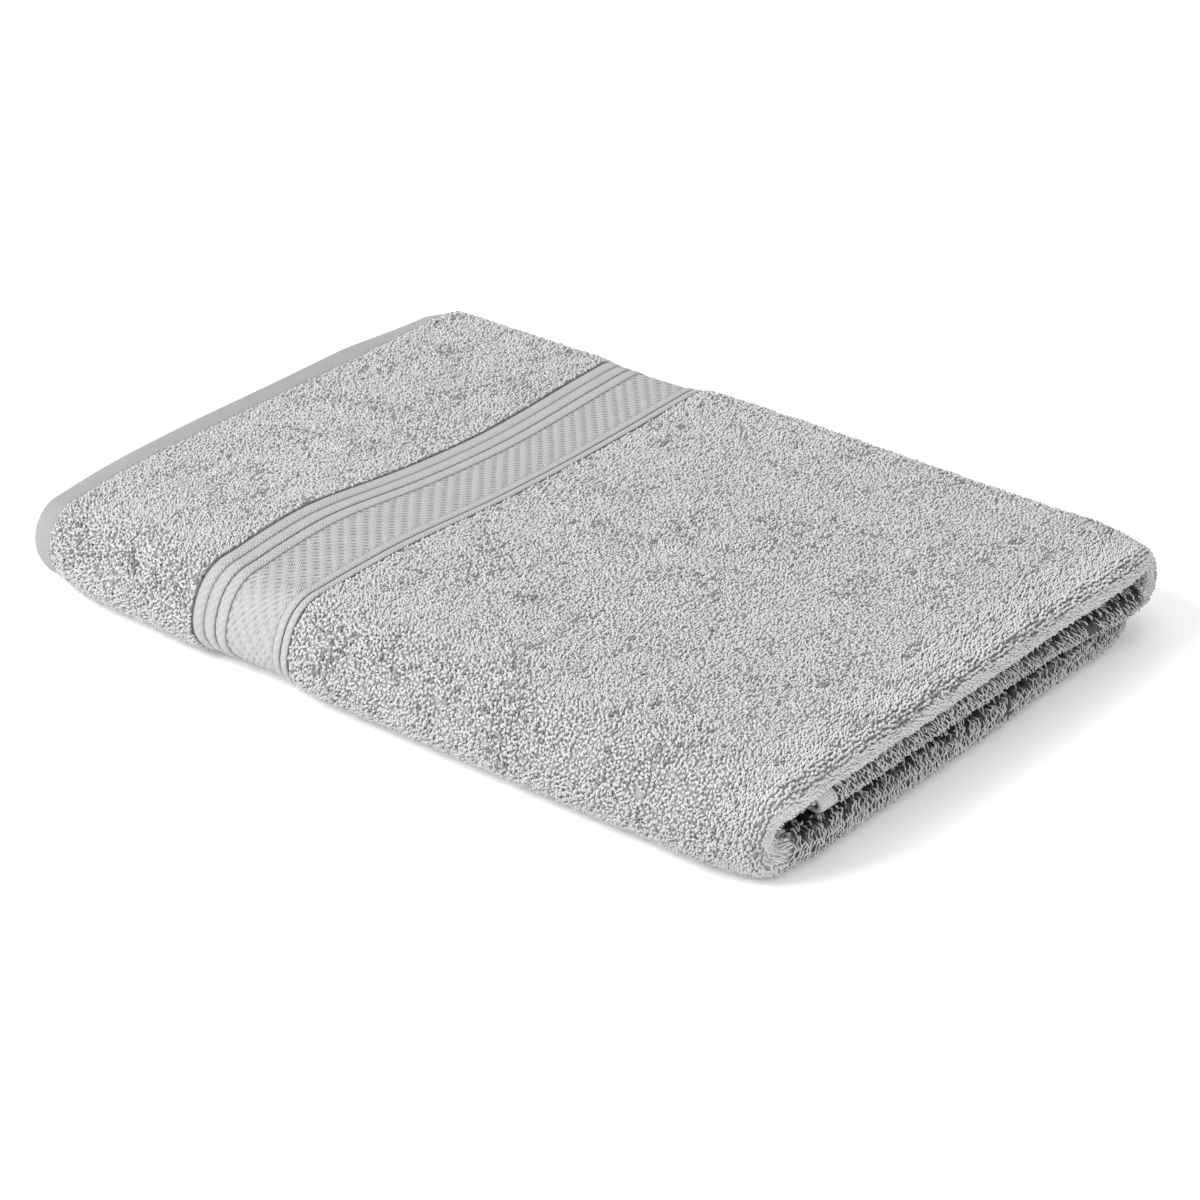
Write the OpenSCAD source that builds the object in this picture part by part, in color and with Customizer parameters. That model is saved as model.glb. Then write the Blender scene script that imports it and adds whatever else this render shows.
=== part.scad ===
// Terry bath towel, folded in four along its length and in three across its width.
//
// The cloth is one long strip. Seen from the side, its length runs to and fro in
// four layers: a turn joins the top and bottom layers at the right end, a smaller
// one nests inside it, and a third joins the two lowest layers at the left end.
// That stack is then folded in three across, as a letter is: the middle third lies
// on top, one side third is tucked under it and the other lies below both.
//
// A profile is drawn in the plane [x, height in the stack], and letter_fold()
// carries it along the folded width. X runs along the towel's length, Y across it,
// and the floor is z = 0.

/* [Cloth laid flat] */
// Length of the towel, hem to hem
towel_length = 1500; // [1200:10:1800]
// Width of the towel, edge to edge
towel_width = 700; // [560:5:840]

/* [Terry] */
// Thickness of the woven ground that holds the pile
ground_t = 1.0; // [0.6:0.05:1.6]
// Height of the loop pile on each face, as it lies folded
pile_h = 1.05; // [0.7:0.05:1.8]
// Air left between two layers of one stack
layer_gap = 0.27; // [0.15:0.01:0.6]

/* [Dobby border] */
// Distance from the towel's end to the border
border_from_end = 101; // [60:1:160]
// Width of the border, cords included
border_w = 51.5; // [42:0.5:80]
// Thickness of the flat woven band, as a share of the terry's
band_share = 0.52; // [0.3:0.01:0.7]
// Thickness over the cords, as a share of the terry's
cord_share = 0.96; // [0.8:0.01:1]
// Cords along the border's edge nearer the towel's end
outer_cords = 3; // [1:1:3]
// Distance from one of those cords to the next
outer_cord_pitch = 6; // [4:0.1:7]
// Cords along the border's other edge
inner_cords = 2; // [1:1:3]
// Distance from one of those cords to the next
inner_cord_pitch = 4.4; // [3:0.1:5]
// Width of one cord, as a share of the distance to the next
cord_fill = 0.84; // [0.4:0.01:0.94]

/* [Hems and stitching] */
// Width of the turned hem at each end
end_hem_w = 13; // [8:0.5:25]
// Width of the turned hem along each side
side_hem_w = 9; // [5:0.5:15]
// Thickness of a turned hem, as a share of the terry's
hem_share = 0.78; // [0.5:0.01:0.85]
// Distance from a hem's inner edge to its line of stitching
stitch_inset = 2; // [1:0.1:3]
// Width of a line of stitching
thread_w = 0.6; // [0.3:0.05:0.8]
// Height of the thread above the hem
thread_h = 0.25; // [0.1:0.05:0.3]

/* [Folding] */
// Air left between the three thirds
third_gap = 0.3; // [0.2:0.05:1]
// How far the fold at the left end lies behind the hems
fold_setback = 3; // [1:0.5:12]
// Distance from the tucked third's free edge to the centre of the near turn
tuck_offset = 26; // [10:1:45]
// How far the bottom third's free edge lies inside the far side
bottom_setback = 8; // [4:1:40]

/* [Hidden] */
$fn = 64;

terry_grey = [0.74, 0.74, 0.74];
border_grey = [0.78, 0.78, 0.78];
hem_grey = [0.71, 0.71, 0.71];
thread_grey = [0.82, 0.82, 0.82];

// The four layers of a stack, from the innermost face outwards
BOTTOM_RUN = 0;
LOWER_RUN = 1;
UPPER_RUN = 2;
TOP_RUN = 3;

// A place or length to the nearest 0.01 mm, so that pieces that meet are cut at exactly the same place
function to_grid(length) = round(length * 100) / 100;

cloth_t = ground_t + 2 * pile_h;
layer_pitch = cloth_t + layer_gap;
stack_h = 3 * layer_pitch + cloth_t;
hem_t = hem_share * cloth_t;
band_t = band_share * cloth_t;
cord_top = cord_share * cloth_t / 2;

// Middle radii of the turns that join the runs at the two ends
big_turn_r = 1.5 * layer_pitch;
small_turn_r = 0.5 * layer_pitch;
turns_length = PI * (big_turn_r + 2 * small_turn_r);

// X of the turns' centres, measured from the hems' outer edge and then in the part's frame
left_turn_in = fold_setback + small_turn_r + cloth_t / 2;
right_turn_in = to_grid((towel_length - turns_length + 2 * left_turn_in) / 4);
package_l = right_turn_in + big_turn_r + cloth_t / 2;
x_hem = -to_grid(package_l / 2);
x_left_turn = x_hem + left_turn_in;
x_right_turn = x_hem + right_turn_in;
x_border = x_hem + border_from_end;

// The letter fold: radii of its two turns at the stack's inner face
near_turn_r = stack_h / 2 + third_gap;
far_turn_r = third_gap / 2;
far_reach = far_turn_r + stack_h;
near_reach = near_turn_r + stack_h;
turned_width = PI * (near_turn_r + far_turn_r + stack_h);
top_l = to_grid((towel_width - turned_width + tuck_offset + bottom_setback - far_reach) / 3);
tucked_l = top_l - tuck_offset;
bottom_l = top_l + far_reach - bottom_setback;
package_w = near_reach + top_l + far_reach;
y_near = near_reach - to_grid(package_w / 2);
y_far = y_near + top_l;
z_bottom = stack_h;
z_tucked = 2 * stack_h + third_gap;
z_top = 2 * stack_h + 2 * third_gap;
z_near = (z_bottom + z_top) / 2;
z_far = (z_tucked + z_top) / 2;

// A side hem's line of stitching, as distances from the free edge
stitch_from = side_hem_w - stitch_inset - thread_w;
stitch_to = side_hem_w - stitch_inset;

// Height of a run's middle line in the stack
function run_mid(run) = run * layer_pitch + cloth_t / 2;

// +1 where the towel's face is the upper side of a run, -1 where it is the lower
function face_sign(run) = (run == TOP_RUN || run == LOWER_RUN) ? 1 : -1;

// Part of a run from x0 to x1, and from low to high above the cloth's middle towards its face
module run_part(run, x0, x1, low, high) {
    s = face_sign(run);
    bottom = run_mid(run) + min(s * low, s * high);
    translate([x0, bottom]) square([x1 - x0, high - low]);
}

// Half ring about [x, height], opening towards -side
module turn_part(x, height, inner_r, outer_r, side) {
    translate([x, height]) intersection() {
        difference() {
            circle(r = outer_r);
            circle(r = inner_r);
        }
        translate([side > 0 ? 0 : -2 * outer_r, -2 * outer_r])
            square([2 * outer_r, 4 * outer_r]);
    }
}

// The three turns that join the runs, low to high above the cloth's middle
module turn_parts(low, high) {
    middle = stack_h / 2;
    turn_part(x_right_turn, middle, big_turn_r + low, big_turn_r + high, 1);
    turn_part(x_right_turn, middle, small_turn_r - high, small_turn_r - low, 1);
    left_middle = (run_mid(BOTTOM_RUN) + run_mid(LOWER_RUN)) / 2;
    turn_part(x_left_turn, left_middle, small_turn_r + low, small_turn_r + high, -1);
}

// The cloth from x_top on the top run, round all the turns, to x_top on the upper run
module whole_path(x_top, low, high) {
    run_part(TOP_RUN, x_top, x_right_turn, low, high);
    run_part(UPPER_RUN, x_top, x_right_turn, low, high);
    run_part(BOTTOM_RUN, x_left_turn, x_right_turn, low, high);
    run_part(LOWER_RUN, x_left_turn, x_right_turn, low, high);
    turn_parts(low, high);
}

// Straight third from y0 to y1: upright with its inner face at z, or turned over below z
module third(y0, y1, z, turned_over) {
    translate([0, y1, z])
        mirror([0, 0, turned_over ? 1 : 0])
            rotate([90, 0, 0]) linear_extrude(y1 - y0) children();
}

// Half turn about the line [y, z] along X, on the near (-Y) or far (+Y) side
module turn(y, z, inner_r, near) {
    translate([0, y, z]) rotate([90, 0, 90]) rotate([0, 0, near ? 90 : -90])
        rotate_extrude(angle = 180) translate([inner_r, 0]) mirror([1, -1]) children();
}

// Carries a profile along the folded width, ending trim before each free edge
module letter_fold(trim = side_hem_w) {
    third(y_near, y_far, z_top, false) children();
    turn(y_near, z_near, near_turn_r, true) children();
    third(y_near, y_near + bottom_l - trim, z_bottom, true) children();
    turn(y_far, z_far, far_turn_r, false) children();
    third(y_far - tucked_l + trim, y_far, z_tucked, true) children();
}

// Carries a profile along the tucked third only, between two distances from its free edge
module tucked_edge(from, to) {
    third(y_far - tucked_l + from, y_far - tucked_l + to, z_tucked, true) children();
}

// Carries a profile along the bottom third only, between two distances from its free edge
module bottom_edge(from, to) {
    third(y_near + bottom_l - to, y_near + bottom_l - from, z_bottom, true) children();
}

// The terry beyond the two borders, low to high above the cloth's middle
module main_field(low, high) {
    letter_fold() whole_path(x_border + border_w, low, high);
}

// The terry between an end hem and its border, low to high above the cloth's middle
module heading(run, low, high) {
    letter_fold() run_part(run, x_hem + end_hem_w, x_border, low, high);
}

module ground_main() {
    color(terry_grey) main_field(-ground_t / 2, ground_t / 2);
}

module ground_heading(run) {
    color(terry_grey) heading(run, -ground_t / 2, ground_t / 2);
}

module pile_main_face() {
    color(terry_grey) main_field(ground_t / 2, cloth_t / 2);
}

module pile_main_back() {
    color(terry_grey) main_field(-cloth_t / 2, -ground_t / 2);
}

module pile_heading_face(run) {
    color(terry_grey) heading(run, ground_t / 2, cloth_t / 2);
}

module pile_heading_back(run) {
    color(terry_grey) heading(run, -cloth_t / 2, -ground_t / 2);
}

module border_band(run) {
    color(border_grey) letter_fold()
        run_part(run, x_border, x_border + border_w, -band_t / 2, band_t / 2);
}

// Cords side by side from x0 on, standing on the band's face
module cord_group(run, x0, count, pitch) {
    margin = (1 - cord_fill) * pitch / 2;
    for (i = [0:count - 1]) {
        x = x0 + i * pitch;
        run_part(run, x + margin, x + pitch - margin, band_t / 2, cord_top);
    }
}

module border_cords(run) {
    x_inner = x_border + border_w - inner_cords * inner_cord_pitch;
    color(border_grey) letter_fold() {
        cord_group(run, x_border, outer_cords, outer_cord_pitch);
        cord_group(run, x_inner, inner_cords, inner_cord_pitch);
    }
}

module end_hem(run) {
    color(hem_grey) letter_fold()
        run_part(run, x_hem, x_hem + end_hem_w, -hem_t / 2, hem_t / 2);
}

module side_hem_profile() {
    whole_path(x_hem, -hem_t / 2, hem_t / 2);
}

module side_hem_tucked() {
    color(hem_grey) tucked_edge(0, side_hem_w) side_hem_profile();
}

module side_hem_bottom() {
    color(hem_grey) bottom_edge(0, side_hem_w) side_hem_profile();
}

// The line of stitching that holds an end hem, on both faces
module end_stitching(run) {
    x = x_hem + end_hem_w - stitch_inset - thread_w;
    color(thread_grey) letter_fold() {
        run_part(run, x, x + thread_w, hem_t / 2, hem_t / 2 + thread_h);
        run_part(run, x, x + thread_w, -hem_t / 2 - thread_h, -hem_t / 2);
    }
}

// Both faces' stitching along the whole length of a side hem
module side_stitching_profile() {
    whole_path(x_hem + end_hem_w, hem_t / 2, hem_t / 2 + thread_h);
    whole_path(x_hem + end_hem_w, -hem_t / 2 - thread_h, -hem_t / 2);
}

module side_stitching_tucked() {
    color(thread_grey) tucked_edge(stitch_from, stitch_to) side_stitching_profile();
}

module side_stitching_bottom() {
    color(thread_grey) bottom_edge(stitch_from, stitch_to) side_stitching_profile();
}

ground_main();
ground_heading(TOP_RUN);  // ground_heading_a
ground_heading(UPPER_RUN);  // ground_heading_b
pile_main_face();
pile_main_back();
pile_heading_face(TOP_RUN);  // pile_heading_a_face
pile_heading_back(TOP_RUN);  // pile_heading_a_back
pile_heading_face(UPPER_RUN);  // pile_heading_b_face
pile_heading_back(UPPER_RUN);  // pile_heading_b_back
border_band(TOP_RUN);  // border_band_a
border_band(UPPER_RUN);  // border_band_b
border_cords(TOP_RUN);  // border_cords_a
border_cords(UPPER_RUN);  // border_cords_b
end_hem(TOP_RUN);  // end_hem_a
end_hem(UPPER_RUN);  // end_hem_b
side_hem_tucked();
side_hem_bottom();
end_stitching(TOP_RUN);  // end_stitching_a
end_stitching(UPPER_RUN);  // end_stitching_b
side_stitching_tucked();
side_stitching_bottom();
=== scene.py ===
"""A folded terry bath towel: its cloth, loop pile, woven borders, hems and stitching."""

import math

import bpy
import numpy as np
from bpy.props import FloatProperty, FloatVectorProperty, IntProperty, PointerProperty
from mathutils import Matrix, Vector


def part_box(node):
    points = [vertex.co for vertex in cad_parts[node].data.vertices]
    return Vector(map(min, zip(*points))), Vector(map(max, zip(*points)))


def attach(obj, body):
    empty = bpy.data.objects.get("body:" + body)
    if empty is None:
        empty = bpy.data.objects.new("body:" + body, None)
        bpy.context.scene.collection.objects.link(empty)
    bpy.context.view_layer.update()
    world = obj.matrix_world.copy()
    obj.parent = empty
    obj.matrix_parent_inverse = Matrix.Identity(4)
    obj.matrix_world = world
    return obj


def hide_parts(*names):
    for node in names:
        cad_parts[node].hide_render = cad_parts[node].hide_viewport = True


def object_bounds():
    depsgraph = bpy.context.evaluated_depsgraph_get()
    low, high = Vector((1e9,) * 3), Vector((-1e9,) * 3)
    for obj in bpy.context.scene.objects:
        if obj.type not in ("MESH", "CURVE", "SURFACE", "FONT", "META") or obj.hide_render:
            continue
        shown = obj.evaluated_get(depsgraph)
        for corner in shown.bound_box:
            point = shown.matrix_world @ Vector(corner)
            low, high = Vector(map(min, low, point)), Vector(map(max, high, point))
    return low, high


bl_info = {
    "name": "Folded Terry Towel",
    "version": (1, 0, 0),
    "blender": (4, 5, 0),
    "location": "3D View > Sidebar > Towel",
    "description": "Builds a folded terry bath towel from its packed frame",
    "category": "Object",
}

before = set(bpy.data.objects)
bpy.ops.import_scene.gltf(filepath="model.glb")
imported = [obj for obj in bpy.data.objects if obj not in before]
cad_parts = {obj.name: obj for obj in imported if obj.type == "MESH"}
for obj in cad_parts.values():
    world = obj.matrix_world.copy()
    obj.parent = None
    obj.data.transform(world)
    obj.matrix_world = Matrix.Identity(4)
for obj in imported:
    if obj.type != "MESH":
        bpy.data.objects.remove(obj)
CAD_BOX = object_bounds()
MM = 0.001


# ---------------------------------------------------------------- sizes read from the frame

PACK_LOW, PACK_HIGH = CAD_BOX
HEM_A_LOW, HEM_A_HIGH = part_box("end_hem_a")
HEM_B_LOW, HEM_B_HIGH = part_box("end_hem_b")
BAND_LOW, BAND_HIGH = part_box("border_band_a")
CORD_LOW, CORD_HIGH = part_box("border_cords_a")
GROUND_LOW, GROUND_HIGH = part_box("ground_main")
TUCKED_LOW, TUCKED_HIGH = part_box("side_hem_tucked")
BOTTOM_LOW, BOTTOM_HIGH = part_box("side_hem_bottom")

PITCH = HEM_A_HIGH.z - HEM_B_HIGH.z
HEM_T = TUCKED_HIGH.z - TUCKED_LOW.z - 3 * PITCH
CLOTH_T = HEM_T + 2 * (PACK_HIGH.z - HEM_A_HIGH.z)
GROUND_T = CLOTH_T - 2 * (PACK_HIGH.z - GROUND_HIGH.z)
BAND_T = CLOTH_T - 2 * (PACK_HIGH.z - BAND_HIGH.z)
CORD_TOP = CLOTH_T / 2 - (PACK_HIGH.z - CORD_HIGH.z)
STACK_H = 3 * PITCH + CLOTH_T
THIRD_GAP = (PACK_HIGH.z - 3 * STACK_H) / 2
END_HEM_W = HEM_A_HIGH.x - HEM_A_LOW.x
SIDE_HEM_W = TUCKED_HIGH.y - TUCKED_LOW.y
BORDER_W = BAND_HIGH.x - BAND_LOW.x
BORDER_V = BAND_LOW.x - HEM_A_LOW.x

BIG_R = 1.5 * PITCH
SMALL_R = 0.5 * PITCH
X_HEM = HEM_A_LOW.x
X_RIGHT = PACK_HIGH.x - BIG_R - CLOTH_T / 2
X_LEFT = GROUND_LOW.x + GROUND_T / 2 + SMALL_R
LONG_RUN = X_RIGHT - X_HEM
SHORT_RUN = X_RIGHT - X_LEFT

# Distances along the towel at which each run or turn starts, hem a to hem b
RUN_KNOTS = np.cumsum(
    [0, LONG_RUN, math.pi * BIG_R, SHORT_RUN, math.pi * SMALL_R, SHORT_RUN, math.pi * SMALL_R, LONG_RUN]
)
TOWEL_LENGTH = float(RUN_KNOTS[-1])

NEAR_R = STACK_H / 2 + THIRD_GAP
FAR_R = THIRD_GAP / 2
Y_NEAR = PACK_LOW.y + NEAR_R + STACK_H
Y_FAR = PACK_HIGH.y - FAR_R - STACK_H
Z_BOTTOM = STACK_H
Z_TUCKED = 2 * STACK_H + THIRD_GAP
Z_TOP = 2 * STACK_H + 2 * THIRD_GAP
Z_NEAR = (Z_BOTTOM + Z_TOP) / 2
Z_FAR = (Z_TUCKED + Z_TOP) / 2

# Distances across the towel, from the tucked edge, at which the top third starts and ends
TOP_FROM = Y_FAR - TUCKED_LOW.y + math.pi * (FAR_R + STACK_H / 2)
TOP_TO = TOP_FROM + Y_FAR - Y_NEAR
TOWEL_WIDTH = TOP_TO + math.pi * (NEAR_R + STACK_H / 2) + BOTTOM_HIGH.y - Y_NEAR


# ---------------------------------------------------------------- settings


class TowelFold(bpy.types.PropertyGroup):
    creep: FloatProperty(
        name="Creep",
        description="How far the free edges of the layers are staggered, as a share of the full stagger",
        default=0.15, min=0, max=1, subtype="FACTOR",
    )
    hem_drop: FloatProperty(
        name="Hem Drop", description="How far the end hem turns down near its corners",
        default=7 * MM, unit="LENGTH",
    )
    squash: FloatProperty(
        name="Squash",
        description="How much the lower thirds are pressed at the folded end, as a share",
        default=0.13, min=0, max=0.3, subtype="FACTOR",
    )
    border_dip: FloatProperty(
        name="Border Dip",
        description="How far each stack sinks at the borders, as a share of its height",
        default=0.1, min=0, max=0.3, subtype="FACTOR",
    )
    bottom_recess: FloatProperty(
        name="Bottom Recess",
        description="How far the bottom third's folded end sits in from the top third's",
        default=5 * MM, unit="LENGTH",
    )
    middle_recess: FloatProperty(
        name="Middle Recess",
        description="How far the tucked third's folded end sits in from the top third's",
        default=6 * MM, unit="LENGTH",
    )
    corner: FloatProperty(
        name="Corner",
        description="How far the folded corners are rounded in",
        default=6 * MM, unit="LENGTH",
    )
    far_sag: FloatProperty(
        name="Far Sag",
        description="How far the top sinks along the far side",
        default=2.4 * MM, unit="LENGTH",
    )
    near_swell: FloatProperty(
        name="Near Swell",
        description="How far the near side swells out",
        default=2.6 * MM, unit="LENGTH",
    )
    border_sway: FloatProperty(
        name="Border Sway", description="How far the border wanders from a straight line",
        default=4 * MM, unit="LENGTH",
    )
    ripple: FloatProperty(
        name="Ripple",
        description="Height of the slow waves in the cloth",
        default=0.9 * MM, unit="LENGTH",
    )


class TowelPile(bpy.types.PropertyGroup):
    row_pitch: FloatProperty(
        name="Row Pitch", description="Distance between rows of loops", default=1.3 * MM, unit="LENGTH",
    )
    loop_pitch: FloatProperty(
        name="Loop Pitch",
        description="Distance between loops in a row",
        default=1.2 * MM, unit="LENGTH",
    )
    loop_span: FloatProperty(
        name="Loop Span",
        description="Distance between a loop's two feet",
        default=1.0 * MM, unit="LENGTH",
    )
    loop_height: FloatProperty(
        name="Loop Height",
        description="Height of a loop above the ground cloth",
        default=1.4 * MM, unit="LENGTH",
    )
    yarn_radius: FloatProperty(
        name="Yarn Radius", description="Radius of the pile yarn", default=0.45 * MM, unit="LENGTH",
    )
    seed: IntProperty(name="Seed", description="Chooses the loops' random lean", default=7)


class TowelBorder(bpy.types.PropertyGroup):
    outer_cords: IntProperty(name="Outer Cords", description="Cords on the side of the hem", default=3)
    outer_pitch: FloatProperty(
        name="Outer Pitch", description="Distance between those cords", default=6 * MM, unit="LENGTH",
    )
    inner_cords: IntProperty(name="Inner Cords", description="Cords on the other side", default=2)
    inner_pitch: FloatProperty(
        name="Inner Pitch", description="Distance between those cords", default=4.4 * MM, unit="LENGTH",
    )
    figure_v: FloatProperty(
        name="Figure Height", description="Length of one woven diamond along the towel",
        default=6.4 * MM, unit="LENGTH",
    )
    figure_u: FloatProperty(
        name="Figure Width", description="Length of one woven diamond across the towel",
        default=6.9 * MM, unit="LENGTH",
    )
    figure_depth: FloatProperty(
        name="Figure Depth", description="Depth of the dimples between the diamonds",
        default=0.6 * MM, unit="LENGTH",
    )


class TowelColours(bpy.types.PropertyGroup):
    pile: FloatVectorProperty(
        name="Pile",
        description="Colour of the pile yarn",
        subtype="COLOR", size=3, default=(0.54, 0.54, 0.54),
        min=0, max=1,
    )
    border: FloatVectorProperty(
        name="Border", description="Colour of the woven border", subtype="COLOR", size=3,
        default=(0.38, 0.38, 0.38), min=0, max=1,
    )
    hem: FloatVectorProperty(
        name="Hem", description="Colour of the plain hems", subtype="COLOR", size=3,
        default=(0.31, 0.31, 0.31), min=0, max=1,
    )


class TowelStage(bpy.types.PropertyGroup):
    azimuth: FloatProperty(
        name="Azimuth", description="Direction of the camera round the towel",
        default=math.radians(42.46), subtype="ANGLE",
    )
    elevation: FloatProperty(
        name="Elevation", description="Height of the camera above the horizon",
        default=math.radians(28.48), subtype="ANGLE",
    )
    roll: FloatProperty(
        name="Roll", description="Turn of the camera about its own axis",
        default=math.radians(-2.69), subtype="ANGLE",
    )
    distance: FloatProperty(
        name="Distance",
        description="Distance from the camera to the towel",
        default=1.2935, unit="LENGTH",
    )
    lens: FloatProperty(name="Lens", description="Focal length in millimetres", default=99.0)


# ---------------------------------------------------------------- where the folded cloth lies


def smooth_step(low, high, value):
    """0 below low and 1 above high, with a smooth rise between."""
    t = np.clip((value - low) / (high - low), 0, 1)
    return t * t * (3 - 2 * t)


def soft_noise(x, y, cell, seed):
    """Smooth noise between -1 and 1 that changes over about one cell."""
    grid = np.random.default_rng(seed).uniform(-1, 1, (64, 64))
    gx, gy = x / cell, y / cell
    ix, iy = np.floor(gx).astype(int), np.floor(gy).astype(int)
    fx, fy = smooth_step(0, 1, gx - ix), smooth_step(0, 1, gy - iy)
    low = grid[ix % 64, iy % 64] * (1 - fx) + grid[(ix + 1) % 64, iy % 64] * fx
    high = grid[ix % 64, (iy + 1) % 64] * (1 - fx) + grid[(ix + 1) % 64, (iy + 1) % 64] * fx
    return low * (1 - fy) + high * fy


def run_mid(run):
    """Height in the stack of the middle of a run, from 0 for the lowest."""
    return run * PITCH + CLOTH_T / 2


def along_length(v, n):
    """X and height in the stack of a point v along the towel, n above the cloth's middle."""
    piece = np.clip(np.searchsorted(RUN_KNOTS, v, side="right") - 1, 0, 6)
    s = v - RUN_KNOTS[piece]
    big, small = s / BIG_R, s / SMALL_R
    middle, left_middle = STACK_H / 2, (run_mid(0) + run_mid(1)) / 2
    x = np.select(
        [piece == i for i in range(7)],
        [
            X_HEM + s,
            X_RIGHT + (BIG_R + n) * np.sin(big),
            X_RIGHT - s,
            X_LEFT - (SMALL_R + n) * np.sin(small),
            X_LEFT + s,
            X_RIGHT + (SMALL_R - n) * np.sin(small),
            X_RIGHT - s,
        ],
    )
    d = np.select(
        [piece == i for i in range(7)],
        [
            run_mid(3) + n,
            middle + (BIG_R + n) * np.cos(big),
            run_mid(0) - n,
            left_middle - (SMALL_R + n) * np.cos(small),
            run_mid(1) + n,
            middle - (SMALL_R - n) * np.cos(small),
            run_mid(2) - n,
        ],
    )
    return x, d


def turn_lengths(d, creep):
    """Lengths of cloth in the far and near turns, at height d in the stack."""
    extra = math.pi * creep * (d - STACK_H / 2)
    return math.pi * (FAR_R + STACK_H / 2) + extra, math.pi * (NEAR_R + STACK_H / 2) + extra


def across_width(u, d, creep):
    """Y, Z and third (0 tucked, 1 top, 2 bottom) of a point u across the towel, d up in the stack."""
    far_length, near_length = turn_lengths(d, creep)
    beside = np.maximum(TOP_TO - u, u - TOP_TO - near_length)
    plump = 0.26 * (1 - smooth_step(0, 17 * MM, beside))
    d = STACK_H - (STACK_H - d) * (1 + plump)
    far_angle = (TOP_FROM - u) / far_length * math.pi
    near_angle = (u - TOP_TO) / near_length * math.pi
    where = [far_angle > math.pi, far_angle > 0, near_angle <= 0, near_angle <= math.pi]
    y = np.select(
        where,
        [
            Y_FAR - (TOP_FROM - far_length - u),
            Y_FAR + (FAR_R + d) * np.sin(far_angle),
            Y_FAR - (u - TOP_FROM),
            Y_NEAR - (NEAR_R + d) * np.sin(near_angle),
        ],
        Y_NEAR + (u - TOP_TO - near_length),
    )
    z = np.select(
        where,
        [
            Z_TUCKED - d,
            Z_FAR + (FAR_R + d) * np.cos(far_angle),
            Z_TOP + d,
            Z_NEAR + (NEAR_R + d) * np.cos(near_angle),
        ],
        Z_BOTTOM - d,
    )
    third = 1 - smooth_step(0, math.pi, far_angle) + smooth_step(0, math.pi, near_angle)
    return y, z, third


def bump(value, centre, width):
    """1 at the centre, falling away smoothly over about one width on each side."""
    return np.exp(-(((value - centre) / width) ** 2))


# How far in from the pack's ends and corners the fold relaxes
RIGHT_REACH = 80 * MM
LEFT_REACH = 60 * MM
CORNER_REACH = 35 * MM

# Where the relaxed fold moves most, each as a centre and a breadth
SQUASH_ACROSS = (66 * MM, 46 * MM)
NEAR_SWAY_ACROSS = (-62 * MM, 36 * MM)
FAR_SWAY_ACROSS = (38 * MM, 42 * MM)
SWELL_ALONG = (-10 * MM, 150 * MM)
SLOPE_ACROSS = (-112 * MM, 26 * MM)


def settle(x, y, z, third, fold):
    """Lets the neat fold relax: soft corners, a sagging far side and ends that do not line up."""
    high, half_y = PACK_HIGH.z, PACK_HIGH.y
    right = smooth_step(PACK_HIGH.x - RIGHT_REACH, PACK_HIGH.x, x)
    left = 1 - smooth_step(PACK_LOW.x, PACK_LOW.x + LEFT_REACH, x)
    near_x = 1 - smooth_step(0, CORNER_REACH, PACK_HIGH.x - np.abs(x))
    near_y = 1 - smooth_step(0, CORNER_REACH, half_y - np.abs(y))

    middle_recess = fold.middle_recess * (1 - smooth_step(50 * MM, 112 * MM, y))
    bottom_recess = fold.bottom_recess * (1 + 1.1 * smooth_step(85 * MM, half_y, y))
    tucked, bottom = np.clip(1 - third, 0, 1), np.clip(third - 1, 0, 1)
    recess = right * (tucked * middle_recess + bottom * bottom_recess)
    squash = fold.squash * right * (1 - np.clip(1 - np.abs(third - 1), 0, 1)) * bump(y, *SQUASH_ACROSS)

    sway = bump(y, *NEAR_SWAY_ACROSS) - 0.6 * bump(y, *FAR_SWAY_ACROSS)
    sway = sway * bump(x, PACK_LOW.x + BORDER_V, 48 * MM) * z / high
    pull = fold.corner * np.where(x < 0, np.where(y < 0, 1.2, 0.1), np.where(y < 0, 0.8, 0.7))
    pull = pull * near_x * near_y
    swell = smooth_step(-80 * MM, -half_y, y) * (1 - smooth_step(0.3 * high, 0.75 * high, z))
    swell = swell * bump(x, *SWELL_ALONG)
    sag = smooth_step(20 * MM, half_y, y) * smooth_step(-20 * MM, 120 * MM, x)
    sag = sag * (1 + 1.2 * near_x * near_y)
    slope = left * smooth_step(0.45 * high, high, z) * bump(y, *SLOPE_ACROSS)
    hem = 1 - smooth_step(0, END_HEM_W + 3 * MM, x - X_HEM)
    tuck = hem * (smooth_step(50 * MM, 120 * MM, y) + 0.25 * smooth_step(20 * MM, 90 * MM, -y))

    new_x = x - recess - fold.border_sway * sway - np.where(x < 0, -0.1, 1) * pull * near_x
    new_x = new_x - 0.45 * fold.hem_drop * tuck - left * 2 * MM * smooth_step(10 * MM, half_y, y)
    shift = 7 * MM * right * np.clip(1 - third / 0.3, 0, 1) * (1 - smooth_step(-80 * MM, 20 * MM, y))
    new_y = y - np.sign(y) * pull * near_y - fold.near_swell * swell - shift
    fall = fold.far_sag * sag + fold.corner * 0.7 * slope + fold.hem_drop * tuck
    new_z = z * (1 - squash - fall / high) + 0.45 * fold.border_sway * sway
    return new_x, new_y, new_z


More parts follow.
